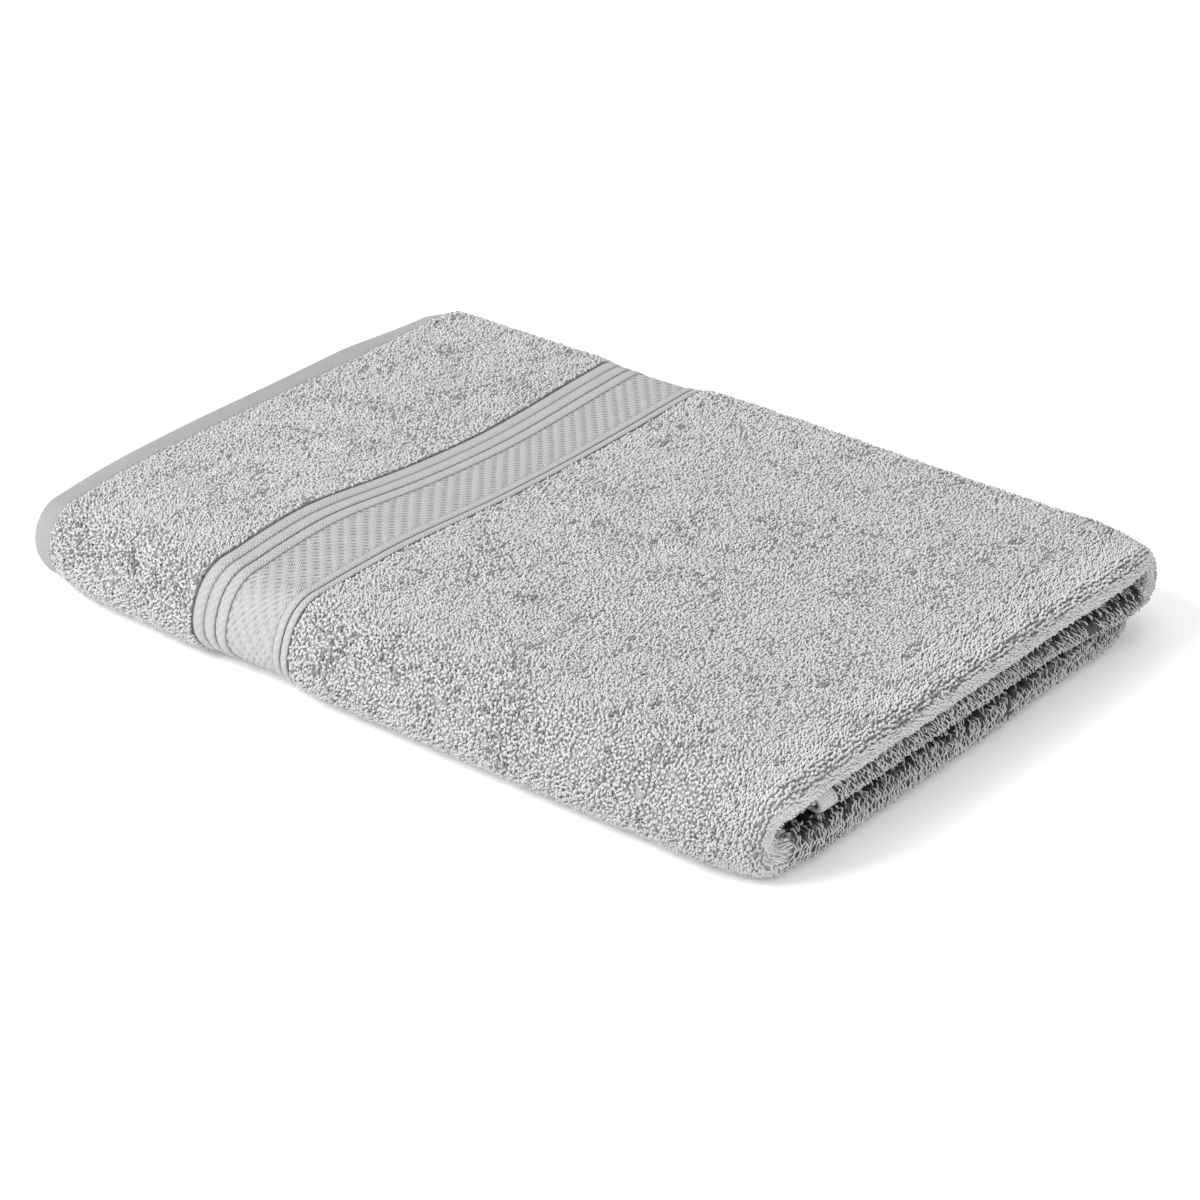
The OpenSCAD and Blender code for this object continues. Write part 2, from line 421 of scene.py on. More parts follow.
def place(u, v, n):
    """The point of the folded towel at u across the flat cloth, v along it and n above its middle."""
    fold = bpy.context.scene.towel_fold
    u, v, n = np.broadcast_arrays(*(np.asarray(a, float) for a in (u, v, n)))
    x, d = along_length(v, n)
    from_hem = x - X_HEM
    shoulder = 9 * MM
    border = smooth_step(BORDER_V - shoulder, BORDER_V + shoulder, from_hem) * (
        1 - smooth_step(BORDER_V + BORDER_W - shoulder, BORDER_V + BORDER_W + shoulder, from_hem)
    )
    y, z, third = across_width(u, d * (1 - fold.border_dip * border), fold.creep)
    lift = z / PACK_HIGH.z
    z = z + fold.ripple * lift * soft_noise(x, y, 70 * MM, 3)
    x = x + fold.ripple * soft_noise(y, z, 60 * MM, 5)
    y = y + fold.ripple * soft_noise(x, z, 80 * MM, 9)
    x, y, z = settle(x, y, z, third, fold)
    return np.stack([x, y, np.maximum(z, 0.05 * MM)], -1)


# ---------------------------------------------------------------- meshes


def add_piece(name, points, quads, triangles=None, flat=None, painted_light_share=None):
    """A closed smooth piece with outward faces and, if flat is given, a map of the flat cloth."""
    points = np.asarray(points, float).reshape(-1, 3)
    quads = np.asarray(quads, np.int64).reshape(-1, 4)
    triangles = np.zeros((0, 3), np.int64) if triangles is None else np.asarray(triangles, np.int64)
    a, b, c, d = (points[quads[:, i]] for i in range(4))
    volume = np.einsum("ij,ij->", a, np.cross(b, c)) + np.einsum("ij,ij->", a, np.cross(c, d))
    if len(triangles):
        e, f, g = (points[triangles[:, i]] for i in range(3))
        volume += np.einsum("ij,ij->", e, np.cross(f, g))
    if volume < 0:
        quads, triangles = quads[:, ::-1], triangles[:, ::-1]
    corners = np.concatenate([quads.ravel(), triangles.ravel()])
    starts = np.concatenate([4 * np.arange(len(quads)), 4 * len(quads) + 3 * np.arange(len(triangles))])
    mesh = bpy.data.meshes.new(name)
    mesh.vertices.add(len(points))
    mesh.vertices.foreach_set("co", points.ravel())
    mesh.loops.add(len(corners))
    mesh.loops.foreach_set("vertex_index", corners)
    mesh.polygons.add(len(starts))
    mesh.polygons.foreach_set("loop_start", starts)
    mesh.polygons.foreach_set("use_smooth", np.ones(len(starts), bool))
    mesh.update(calc_edges=True)
    if flat is not None:
        layer = mesh.uv_layers.new(name="cloth")
        layer.data.foreach_set("uv", np.asarray(flat, float).reshape(-1, 2)[corners].ravel())
    # The tip attribute carries the painted light share: 1 keeps the full colour, less paints shade.
    if painted_light_share is not None:
        layer = mesh.attributes.new(name="tip", type="FLOAT", domain="POINT")
        layer.data.foreach_set("value", np.asarray(painted_light_share, np.float32).ravel())
    piece = bpy.data.objects.new(name, mesh)
    bpy.context.scene.collection.objects.link(piece)
    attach(piece, "root")
    return piece


def ring_quads(rings, around):
    """Quads that join each ring of points to the next."""
    i = np.arange(rings - 1)[:, None] * around
    j = np.arange(around)[None, :]
    k = (j + 1) % around
    return np.stack([i + j, i + k, i + around + k, i + around + j], -1).reshape(-1, 4)


def cap_triangles(rings, around):
    """Fans over the first and the last ring."""
    j = np.arange(1, around - 1)
    fan = np.stack([np.zeros_like(j), j + 1, j], -1)
    return np.concatenate([fan, fan[:, ::-1] + (rings - 1) * around])


def steps(knots, straight_step, turn_step, start, end):
    """Distances along a path of alternating straights and turns, closer together on the turns."""
    found = [knots[0]]
    for i, (low, high) in enumerate(zip(knots, knots[1:])):
        step = turn_step if i % 2 else straight_step
        found.extend(np.linspace(low, high, max(2, math.ceil((high - low) / step) + 1))[1:])
    found = np.array(found)
    inside = found[(found > start + 0.2 * MM) & (found < end - 0.2 * MM)]
    return np.concatenate([[start], inside, [end]])


def u_steps(straight_step, turn_step, start, end):
    """Distances across the towel."""
    far, near = math.pi * (FAR_R + STACK_H), math.pi * (NEAR_R + STACK_H)
    knots = [0, TOP_FROM - far, TOP_FROM, TOP_TO, TOP_TO + near, TOWEL_WIDTH]
    return steps(knots, straight_step, turn_step, start, end)


def v_steps(straight_step, turn_step, start, end):
    """Distances along the towel."""
    return steps(RUN_KNOTS, straight_step, turn_step, start, end)


def sweep_across(name, u, v_ring, n_ring, painted_light_share=1.0):
    """A closed profile in v and n, carried across the towel along u."""
    grid_u, grid_v = np.meshgrid(u, v_ring, indexing="ij")
    grid_n = np.broadcast_to(n_ring, grid_u.shape)
    quads, ends = ring_quads(*grid_u.shape), cap_triangles(*grid_u.shape)
    flat = np.stack([grid_u, grid_v + grid_n], -1)
    painted_light_share = np.broadcast_to(painted_light_share, grid_u.shape)
    return add_piece(name, place(grid_u, grid_v, grid_n), quads, ends, flat, painted_light_share)


def sweep_along(name, v, u_ring, n_ring):
    """A closed profile in u and n, carried along the towel's length."""
    grid_v, grid_u = np.meshgrid(v, u_ring, indexing="ij")
    grid_n = np.broadcast_to(n_ring, grid_u.shape)
    quads, ends = ring_quads(*grid_u.shape), cap_triangles(*grid_u.shape)
    flat = np.stack([grid_u + grid_n, grid_v], -1)
    return add_piece(name, place(grid_u, grid_v, grid_n), quads, ends, flat, np.ones_like(grid_u))


def slab(name, u, v, face_n, back_n, painted_light_share=None):
    """A closed sheet between two heights given over a grid of u and v."""
    grid_u, grid_v = np.meshgrid(u, v, indexing="ij")
    rows, columns = grid_u.shape
    face = place(grid_u, grid_v, face_n).reshape(-1, 3)
    back = place(grid_u, grid_v, back_n).reshape(-1, 3)
    i, j = np.meshgrid(np.arange(rows - 1), np.arange(columns - 1), indexing="ij")
    k = (i * columns + j).ravel()
    upper = np.stack([k, k + columns, k + columns + 1, k + 1], -1)
    count = rows * columns
    lower = upper[:, ::-1] + count
    index = np.arange(count).reshape(rows, columns)
    rim = np.concatenate([index[0, :-1], index[:-1, -1], index[-1, :0:-1], index[:0:-1, 0]])
    after = np.roll(rim, -1)
    sides = np.stack([rim, after, after + count, rim + count], -1)
    flat = np.concatenate([np.stack([grid_u, grid_v], -1).reshape(-1, 2)] * 2)
    if painted_light_share is not None:
        painted_light_share = np.concatenate([painted_light_share.ravel(), np.ones(count)])
    points, quads = np.concatenate([face, back]), np.concatenate([upper, lower, sides])
    return add_piece(name, points, quads, None, flat, painted_light_share)


# ---------------------------------------------------------------- loop pile

LOOP_SIDES = 4
LOOP_RINGS = 3
MOST_FACES = 190_000


def loop_faces():
    """Quads and triangles of one loop: a foot point, the rings and another foot point."""
    quads = ring_quads(LOOP_RINGS, LOOP_SIDES) + 1
    last = 1 + LOOP_RINGS * LOOP_SIDES
    j = np.arange(LOOP_SIDES)
    k = (j + 1) % LOOP_SIDES
    first_cap = np.stack([np.zeros_like(j), 1 + k, 1 + j], -1)
    last_ring = last - LOOP_SIDES
    last_cap = np.stack([np.full_like(j, last), last_ring + j, last_ring + k], -1)
    return quads, np.concatenate([first_cap, last_cap])


def loop_points(u, v, angle, span, lean_angle, lean, curl, height, radius, foot_n):
    """Points of many loops at once, as u, v and n arrays of one row per loop."""
    s = np.concatenate([[0.0], np.linspace(0.1, 0.9, LOOP_RINGS), [1.0]])[None, :]
    rise = np.sin(math.pi * s)
    along = span[:, None] * (s - 0.5)
    sway = curl[:, None] * np.sin(2 * math.pi * s)
    tip = lean[:, None] * rise
    cos_a, sin_a = np.cos(angle)[:, None], np.sin(angle)[:, None]
    cu = u[:, None] + along * cos_a - sway * sin_a + tip * np.cos(lean_angle)[:, None]
    cv = v[:, None] + along * sin_a + sway * cos_a + tip * np.sin(lean_angle)[:, None]
    cn = foot_n + height[:, None] * rise**0.75
    centre = np.stack([cu, cv, cn], -1)
    tangent = np.gradient(centre, axis=1)
    tangent /= np.linalg.norm(tangent, axis=-1, keepdims=True) + 1e-12
    sideways = np.stack([-sin_a, cos_a, np.zeros_like(cos_a)], -1)
    sideways = sideways - (sideways * tangent).sum(-1, keepdims=True) * tangent
    sideways /= np.linalg.norm(sideways, axis=-1, keepdims=True) + 1e-12
    outward = np.cross(tangent, sideways)
    turn = 2 * math.pi * np.arange(LOOP_SIDES) / LOOP_SIDES + math.pi / 4
    ring = (
        np.cos(turn)[None, None, :, None] * sideways[:, 1:-1, None, :]
        + np.sin(turn)[None, None, :, None] * outward[:, 1:-1, None, :]
    )
    body = centre[:, 1:-1, None, :] + radius[:, None, None, None] * ring
    body = body.reshape(len(u), -1, 3)
    return np.concatenate([centre[:, :1], body, centre[:, -1:]], 1)


def painted_root_share(u, v):
    """How much colour the loops' feet keep under the painted root shade: most on the top's far side,
    where the pile lies pressed flat, less near the folds, where it lies more open, in random patches.
    """
    near_side = smooth_step(TOP_TO - 60 * MM, TOP_TO + 12 * MM, u)
    right_end = smooth_step(RUN_KNOTS[1] - 90 * MM, RUN_KNOTS[1], v)
    patches = 0.3 * soft_noise(u, v, 13 * MM, 31) + 0.3 * soft_noise(u, v, 4 * MM, 32)
    return 1 - 0.22 * np.maximum(near_side, 0.8 * right_end) + patches


def lobe_shade(u, v):
    """How much of its colour the pile keeps under the painted shade on the lower folded ends, which lie
    in shade.
    """
    from_top = RUN_KNOTS[2] - v
    tucked = u < TOP_FROM
    far = np.where(tucked, smooth_step(TOP_FROM - 140 * MM, TOP_FROM - 30 * MM, u), 0)
    near = np.where(tucked, 0, 1 - smooth_step(TOWEL_WIDTH - 110 * MM, TOWEL_WIDTH - 30 * MM, u))
    ragged = 1 + 0.3 * soft_noise(u, v, 7 * MM, 51) + 0.35 * soft_noise(u, v, 1.6 * MM, 52)
    reach = np.where(tucked, 6.5 + 3.5 * far, 3.4 + 2.6 * near) * MM * ragged
    return smooth_step(0.4, 1, from_top / reach)


def partings(u, v, rng):
    """Which loops lie deep where rows of loops part, as 1 in a slit and 0 elsewhere."""
    right_end = smooth_step(RUN_KNOTS[1] - 40 * MM, RUN_KNOTS[1] - 8 * MM, v)
    short, long = soft_noise(u / 2, v, 1.1 * MM, 61), soft_noise(u / 4.5, v, 1.1 * MM, 63)
    fine = short + right_end * (long - short)
    broad = soft_noise(u / 1.6, v, 9 * MM, 62)
    chance = 0.45 * rng.uniform(-1, 1, len(u))
    return smooth_step(0.2, 0.8, 0.75 * fine + 0.4 * broad + 0.1 * right_end + chance)


def add_loops(name, u, v, look, rng):
    """Loops standing at the given feet, as pieces of a limited size that are numbered from one."""
    pile = bpy.context.scene.towel_pile
    count = len(u)
    if not count:
        return []
    pressed = look["pressed"] * (1 - smooth_step(TOP_TO - 30 * MM, TOP_TO + 4 * MM, u))
    angle = look["angle"] + look["spread"] * (1 - 0.68 * pressed) * rng.uniform(-1, 1, count)
    lean_angle = angle + math.pi / 2 * rng.choice([-1, 1], count) + rng.normal(0, 0.5, count)
    uneven = soft_noise(u, v, 9 * MM, 21) * 0.12
    stand = -0.08 - 0.14 * pressed + uneven + soft_noise(u, v, 3.1 * MM, 22) * 0.12
    slit = partings(u, v, rng) * look["slits"]
    usual = pile.loop_height * look["height"]
    height = usual * (1 + stand + rng.normal(0, 0.13, count)) * (1 - 0.2 * slit)
    span = pile.loop_span * look["span"] * (1 + rng.normal(0, 0.18, count))
    lean = pile.loop_span * rng.uniform(0.1, 0.75, count) * look["lean"] * (1 + 0.3 * pressed)
    curl = pile.loop_span * rng.normal(0, 0.16, count)
    radius = pile.yarn_radius * look["radius"] * (1 + rng.normal(0, 0.08, count))
    foot_n = GROUND_T * 0.3
    uvn = loop_points(u, v, angle, span, lean_angle, lean, curl, height, radius, foot_n)
    uvn[..., 2] = np.minimum(uvn[..., 2], look["limit"])
    # Painted shade: a share that runs from 0 at a loop's feet to 1 at its usual height, raised at the
    # feet to the look's root share; the material darkens the colour by it.
    painted_light_share = np.clip((uvn[..., 2] - foot_n) / usual, 0, 1)
    root = np.clip(look["root"] * painted_root_share(u, v), 0, 1)[:, None]
    painted_light_share = root + (1 - root) * painted_light_share
    # Painted shade in the partings, where rows of loops part.
    painted_light_share = painted_light_share * (1 - 0.68 * slit[:, None])
    # Painted shade on the lower folded ends, which spares a random share of light loops.
    if look["shaded"]:
        light = rng.random(count) < np.where(v > RUN_KNOTS[2], 0.2, 0.45)
        painted_light_share = painted_light_share * np.where(light, 1, lobe_shade(u, v))[:, None]
    per_loop = uvn.shape[1]
    quads, triangles = loop_faces()
    faces = 2 * len(quads) + len(triangles)
    parts = max(1, math.ceil(count / (MOST_FACES // faces)))
    order = np.argsort(v, kind="stable")
    pieces = []
    for part, chosen in enumerate(np.array_split(order, parts)):
        first = (np.arange(len(chosen)) * per_loop)[:, None, None]
        points = place(*np.moveaxis(uvn[chosen], -1, 0))
        label = name if parts == 1 else f"{name}_{part + 1}"
        caps = (triangles[None] + first).reshape(-1, 3)
        pieces.append(add_piece(label, points, quads[None] + first, caps, painted_light_share=painted_light_share[chosen]))
    return pieces


def feet(u_low, u_high, v_low, v_high, rng, look):
    """Feet of the loops on a rectangle of the flat cloth, in rows across the towel."""
    pile = bpy.context.scene.towel_pile
    row, gap, jitter = pile.row_pitch * look["row"], pile.loop_pitch * look["gap"], look["jitter"]
    rows = max(1, round((v_high - v_low) / row))
    across = max(1, round((u_high - u_low) / gap))
    v = v_low + (np.arange(rows) + 0.5) * (v_high - v_low) / rows
    u = u_low + (np.arange(across) + 0.5) * (u_high - u_low) / across
    grid_v, grid_u = np.meshgrid(v, u, indexing="ij")
    grid_u = grid_u + (np.arange(rows) % 2)[:, None] * gap / 2
    grid_u = grid_u + max(jitter, 0.3) * gap * rng.uniform(-1, 1, grid_u.shape)
    grid_v = grid_v + jitter * row * rng.uniform(-1, 1, grid_v.shape)
    bare = soft_noise(grid_u, grid_v, 2.6 * MM, 41) + 0.5 * soft_noise(grid_u, grid_v, 9 * MM, 42)
    keep = (grid_u > u_low) & (grid_u < u_high) & (bare < 1.15 - look["bare"])
    return grid_u[keep], grid_v[keep]


# Painted shade in the looks: root is the share of its colour a loop keeps at its feet, slits paints
# shade where rows of loops part as it lowers them, and shaded loops take the painted shade of the lower
# folded ends.
PLAIN_LOOK = {
    "angle": 0.0, "spread": math.pi, "height": 1.0, "span": 1.0, "lean": 1.0, "radius": 1.0, "row": 1.0,
    "gap": 1.0, "jitter": 0.33, "limit": 1.0, "root": 0.0, "bare": 0.0, "shaded": False, "slits": 0.0,
    "pressed": 0.0,
}


def look_of(**changes):
    """How loops of one kind stand: the plain look with some values changed."""
    return PLAIN_LOOK | changes


FREE = look_of(angle=2.3, root=0.75, slits=1.05, pressed=1.0)
ON_FLOOR = look_of(height=0.8, row=1.5, gap=1.5, radius=1.2, limit=CLOTH_T / 2, root=0.5)
INSIDE = look_of(height=1.3, bare=0.3, shaded=True)
ROWS = look_of(
    spread=0.5, height=1.1, span=1.5, lean=0.5, gap=0.95, jitter=0.28, root=0.6, slits=0.9,
)
SMOOTH = look_of(
    spread=0.15, height=0.55, span=3.4, lean=0.2, radius=0.75, row=0.55, gap=1.6, jitter=0.3, root=0.35,
)
COMBED = look_of(
    angle=math.pi / 2, spread=0.5, height=1.2, span=3.4, lean=0.6, radius=0.62, row=1.9, gap=0.92,
    bare=0.3, shaded=True,
)


# ---------------------------------------------------------------- materials


def new_material(name, colour, roughness, sheen):
    """A material with a Principled shader, and its nodes, links and shader."""
    material = bpy.data.materials.new(name)
    material.use_nodes = True
    nodes, links = material.node_tree.nodes, material.node_tree.links
    shader = nodes["Principled BSDF"]
    shader.inputs["Base Color"].default_value = (*colour, 1)
    shader.inputs["Roughness"].default_value = roughness
    shader.inputs["Specular IOR Level"].default_value = 0.25
    shader.inputs["Sheen Weight"].default_value = sheen
    shader.inputs["Sheen Roughness"].default_value = 0.5
    return material, nodes, links, shader


def add_noise(nodes, links, vector, scale, detail):
    """Height of a noise over the given coordinates."""
    noise = nodes.new("ShaderNodeTexNoise")
    noise.inputs["Scale"].default_value = scale
    noise.inputs["Detail"].default_value = detail
    links.new(vector, noise.inputs["Vector"])
    return noise.outputs["Fac"]


def mottled(nodes, links, vector, colour, scales, spread):
    """A colour that varies by a share of itself, over patches of each scale."""
    value = None
    for scale, weight in scales:
        noise = add_noise(nodes, links, vector, scale, 2)
        scaled = nodes.new("ShaderNodeMath")
        scaled.operation = "MULTIPLY_ADD"
        scaled.inputs[1].default_value = weight
        scaled.inputs[2].default_value = 0
        links.new(noise, scaled.inputs[0])
        if value is not None:
            links.new(value, scaled.inputs[2])
        value = scaled.outputs[0]
    ramp = nodes.new("ShaderNodeValToRGB")
    ramp.color_ramp.elements[0].position = 0.3
    ramp.color_ramp.elements[1].position = 0.7
    ramp.color_ramp.elements[0].color = (*(c * (1 - spread) for c in colour), 1)
    ramp.color_ramp.elements[1].color = (*(min(1, c * (1 + spread)) for c in colour), 1)
    links.new(value, ramp.inputs["Fac"])
    return ramp.outputs["Color"]


def with_painted_shade(nodes, links, shade, darkest):
    """Painted shade: the colour made darker where the tip attribute is low, as where the yarn lies deep,
    down to a share of itself.
    """
    tip = nodes.new("ShaderNodeAttribute")
    tip.attribute_name = "tip"
    depth = nodes.new("ShaderNodeValToRGB")
    depth.color_ramp.elements[0].color = (darkest, darkest, darkest, 1)
    depth.color_ramp.elements[1].color = (1, 1, 1, 1)
    depth.color_ramp.elements[1].position = 0.6
    links.new(tip.outputs["Fac"], depth.inputs["Fac"])
    deep = nodes.new("ShaderNodeMix")
    deep.data_type, deep.blend_type = "RGBA", "MULTIPLY"
    deep.inputs["Factor"].default_value = 1
    links.new(shade, deep.inputs[6])
    links.new(depth.outputs["Color"], deep.inputs[7])
    return deep.outputs[2]


def add_relief(nodes, links, shader, height, strength, depth=0.0, invert=False):
    """Relief on the shader from a height, with a depth in metres if one is given."""
    relief = nodes.new("ShaderNodeBump")
    relief.inputs["Strength"].default_value = strength
    relief.invert = invert
    if depth:
        relief.inputs["Distance"].default_value = depth
    links.new(height, relief.inputs["Height"])
    links.new(relief.outputs["Normal"], shader.inputs["Normal"])


def pile_material():
    """Soft matt yarn, mottled a little, with painted shade making it darker towards the loops' feet."""
    colour = bpy.context.scene.towel_colours.pile
    material, nodes, links, shader = new_material("terry_yarn", colour, 0.95, 0.05)
    place_on = nodes.new("ShaderNodeTexCoord").outputs["Object"]
    shade = mottled(nodes, links, place_on, colour, ((120, 0.4), (420, 0.6)), 0.09)
    # Painted shade from the tip attribute, down to 0.03 of the colour at the loops' feet.
    links.new(with_painted_shade(nodes, links, shade, 0.03), shader.inputs["Base Color"])
    fibre = add_noise(nodes, links, place_on, 3800, 1)
    add_relief(nodes, links, shader, fibre, 0.25, 0.15 * MM)
    return material


def ground_material():
    """The cloth between the loops' feet, which looks like packed yarn, with painted shade: 0.6 of the
    pile's colour and darker still by the tip attribute.
    """
    # Painted shade between the loops: the ground takes 0.6 of the pile's colour.
    colour = tuple(0.6 * c for c in bpy.context.scene.towel_colours.pile)
    material, nodes, links, shader = new_material("terry_ground", colour, 0.95, 0.1)
    place_on = nodes.new("ShaderNodeTexCoord").outputs["Object"]
    shade = mottled(nodes, links, place_on, colour, ((300, 0.5), (900, 0.5)), 0.15)
    links.new(with_painted_shade(nodes, links, shade, 0.03), shader.inputs["Base Color"])
    cells = nodes.new("ShaderNodeTexVoronoi")
    cells.inputs["Scale"].default_value = 800
    links.new(place_on, cells.inputs["Vector"])
    add_relief(nodes, links, shader, cells.outputs["Distance"], 0.8, 0.5 * MM, invert=True)
    return material


def woven_material(name, colour, thread_pitch, roughness, sheen, strength, slant=0.0):
    """Plain or twill weave that follows the flat cloth's own map."""
    material, nodes, links, shader = new_material(name, colour, roughness, sheen)
    cloth = nodes.new("ShaderNodeUVMap")
    cloth.uv_map = "cloth"
    shade = mottled(nodes, links, cloth.outputs["UV"], colour, ((90, 0.5), (600, 0.5)), 0.05)
    # Painted shade from the tip attribute, down to 0.22 of the colour: in the band's dimples and seams
    # and down the cords' flanks; hems and stitches keep their full colour.
    links.new(with_painted_shade(nodes, links, shade, 0.22), shader.inputs["Base Color"])
    heights = []
    for direction, turn in (("X", slant), ("Y", -slant)):
        turned = nodes.new("ShaderNodeMapping")
        turned.inputs["Rotation"].default_value[2] = turn
        links.new(cloth.outputs["UV"], turned.inputs["Vector"])
        wave = nodes.new("ShaderNodeTexWave")
        wave.bands_direction = direction
        wave.inputs["Scale"].default_value = math.pi / (10 * thread_pitch)
        wave.inputs["Distortion"].default_value = 1.2
        wave.inputs["Detail"].default_value = 1
        wave.inputs["Detail Scale"].default_value = 1.5
        links.new(turned.outputs["Vector"], wave.inputs["Vector"])
        heights.append(wave.outputs["Fac"])
    crossed = nodes.new("ShaderNodeMath")
    crossed.operation = "ADD"
    links.new(heights[0], crossed.inputs[0])
    links.new(heights[1], crossed.inputs[1])
    add_relief(nodes, links, shader, crossed.outputs[0], strength, 0.2 * MM)
    return material


def border_material():
    """Close twill, a little smoother than the pile."""
    colour = bpy.context.scene.towel_colours.border
    return woven_material("woven_border", colour, 0.9 * MM, 0.75, 0.15, 0.8, math.radians(32))


def hem_material(name, lighter=1.0):
    """Plain weave, in the hem's colour made lighter by a factor, which paints light into a lit copy of
    the hem.
    """
    colour = tuple(lighter * c for c in bpy.context.scene.towel_colours.hem)
    return woven_material(name, colour, 0.9 * MM, 0.85, 0.2, 1.0)


def thread_material():
    """Twisted sewing thread, a shade lighter than the hem."""
    colour = tuple(1.03 * c for c in bpy.context.scene.towel_colours.hem)
    return woven_material("sewing_thread", colour, 0.25 * MM, 0.6, 0.1, 0.4, math.radians(45))


def finish_pieces(pieces, material, replaced):
    """Gives pieces their material and slot, and hides the CAD nodes that they stand for."""
    for piece in pieces:
        piece.data.materials.append(material)
        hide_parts(*replaced)


# ---------------------------------------------------------------- pieces


def top_limits(context):
    """Distances across the towel at which the far and near turns meet the tucked and bottom thirds."""
    far, near = turn_lengths(STACK_H, context.scene.towel_fold.creep)
    return TOP_FROM - far - 2 * MM, TOP_TO + near


class TOWEL_OT_cloth(bpy.types.Operator):
    """Weave the folded ground cloth that the pile stands on"""

    bl_idname = "towel.cloth"
    bl_label = "Ground Cloth"

    def execute(self, context):
        outer, under = top_limits(context)
        edge = 1.2 * MM
        u = u_steps(7 * MM, 1.7 * MM, edge, TOWEL_WIDTH - edge)
        v = v_steps(7 * MM, 0.9 * MM, edge, TOWEL_LENGTH - edge)
        rims = [BORDER_V + t * MM for t in (-3, -1.5, -0.5, 1)]
        rims += [BORDER_V + BORDER_W + t * MM for t in (-1, 0, 1, 2.5)]
        v = np.unique(np.concatenate([v, rims]))
        grid_u, grid_v = np.meshgrid(u, v, indexing="ij")
        to_end = np.minimum(grid_v, TOWEL_LENGTH - grid_v)
        to_side = np.minimum(grid_u, TOWEL_WIDTH - grid_u)
        in_pile = smooth_step(END_HEM_W - MM, END_HEM_W + MM, to_end) * smooth_step(
            SIDE_HEM_W - MM, SIDE_HEM_W + MM, to_side
        )
        in_border = (to_end > BORDER_V - 0.5 * MM) & (to_end < BORDER_V + BORDER_W + 0.5 * MM)
        packed = 0.4 * MM * in_pile * ~in_border
        half = 0.75 * GROUND_T / 2 + packed
        # Painted shade on the ground cloth, as the share of its colour it keeps: least in the lower
        # folded ends, in the hollow after the right turn and beside the borders, and less under the
        # pile, a little less so on the near side.
        on_top = smooth_step(outer - 4 * MM, outer + 8 * MM, grid_u) * (
            1 - smooth_step(under - 8 * MM, under + 4 * MM, grid_u)
        )
        lobe_painted_shade = smooth_step(RUN_KNOTS[1] - 6 * MM, RUN_KNOTS[1], grid_v) * (1 - on_top)
        hollow_painted_shade = smooth_step(RUN_KNOTS[2] - 4 * MM, RUN_KNOTS[2], grid_v)
        beside = bump(grid_v, BORDER_V - 0.5 * MM, 1.2 * MM)
        beside = beside + bump(grid_v, BORDER_V + BORDER_W, 1.2 * MM)
        ground_painted_light = 1 - 0.9 * np.clip(lobe_painted_shade + hollow_painted_shade * (grid_v < RUN_KNOTS[3]) + beside, 0, 1)
        near_side = smooth_step(TOP_TO - 40 * MM, TOP_TO, grid_u)
        ground_painted_light = np.minimum(ground_painted_light, 1 - (0.64 - 0.2 * near_side) * in_pile)
        cloth = slab("ground_cloth", u, v, half, -half, ground_painted_light)
        finish_pieces(
            [cloth], ground_material(),
            ["ground_main", "ground_heading_a", "ground_heading_b", "pile_main_back",
             "pile_heading_a_back", "pile_heading_b_back"],
        )
        return {"FINISHED"}


class TOWEL_OT_pile(bpy.types.Operator):
    """Set the terry loops wherever the folded towel shows its pile"""

    bl_idname = "towel.pile"
    bl_label = "Loop Pile"

    def execute(self, context):
        rng = np.random.default_rng(context.scene.towel_pile.seed)
        material = pile_material()
        low, high = SIDE_HEM_W, TOWEL_WIDTH - SIDE_HEM_W
        outer, under = top_limits(context)
        heading = (END_HEM_W - 0.8 * MM, BORDER_V - 0.9 * MM)
        main = (BORDER_V + BORDER_W + 1.2 * MM, RUN_KNOTS[1])
        reach = 14 * MM

        def lay(name, node, areas):
            for i, (u0, u1, v0, v1, look) in enumerate(areas):
                if v0 > v1 or u0 > u1:
                    raise ValueError(f"{name}: empty area")
                u, v = feet(u0, u1, v0, v1, rng, look)
                label = name if len(areas) == 1 else f"{name}_{'abcdefgh'[i]}"
                finish_pieces(add_loops(label, u, v, look, rng), material, [node])

        lay("heading_loops", "pile_heading_a_face", [
            (outer, under, *heading, FREE),
            (under, high, *heading, ON_FLOOR),
            (low, outer, END_HEM_W, END_HEM_W + reach, FREE),
        ])
        rows_from = RUN_KNOTS[1] - 15 * MM
        smooth_from = RUN_KNOTS[1] + 0.42 * math.pi * BIG_R
        smooth_to = RUN_KNOTS[1] + 0.74 * math.pi * BIG_R
        lobe = RUN_KNOTS[1] - 4 * MM
        lay("top_loops", "pile_main_face", [
            (outer, under, main[0], rows_from, FREE),
            (under, high, main[0], lobe, ON_FLOOR),
            (low, outer, RUN_KNOTS[1] - reach, lobe, FREE),
        ])
        lay("end_rows", "pile_main_face", [
            (outer, under, rows_from, smooth_from, ROWS),
            (outer, under, smooth_from, smooth_to, SMOOTH),
            (outer, under, smooth_to, RUN_KNOTS[2], FREE),
        ])
        lay("lobe_loops", "pile_main_face", [
            (low, outer, lobe, RUN_KNOTS[2], COMBED),
            (under, high, lobe, RUN_KNOTS[2], COMBED),
        ])
        lay("inner_loops", "pile_main_face", [
            (low, TOP_TO, RUN_KNOTS[2], RUN_KNOTS[2] + reach, INSIDE),
            (TOP_TO, high, RUN_KNOTS[2], RUN_KNOTS[2] + 2.5 * reach, INSIDE),
        ])
        lay("left_loops", "pile_main_face", [
            (low, high, RUN_KNOTS[3] - 10 * MM, RUN_KNOTS[4] + 8 * MM, FREE),
        ])
        lay("end_b_loops", "pile_heading_b_face", [
            (low, high, TOWEL_LENGTH - END_HEM_W - 5 * MM, TOWEL_LENGTH - END_HEM_W, FREE),
        ])
        return {"FINISHED"}


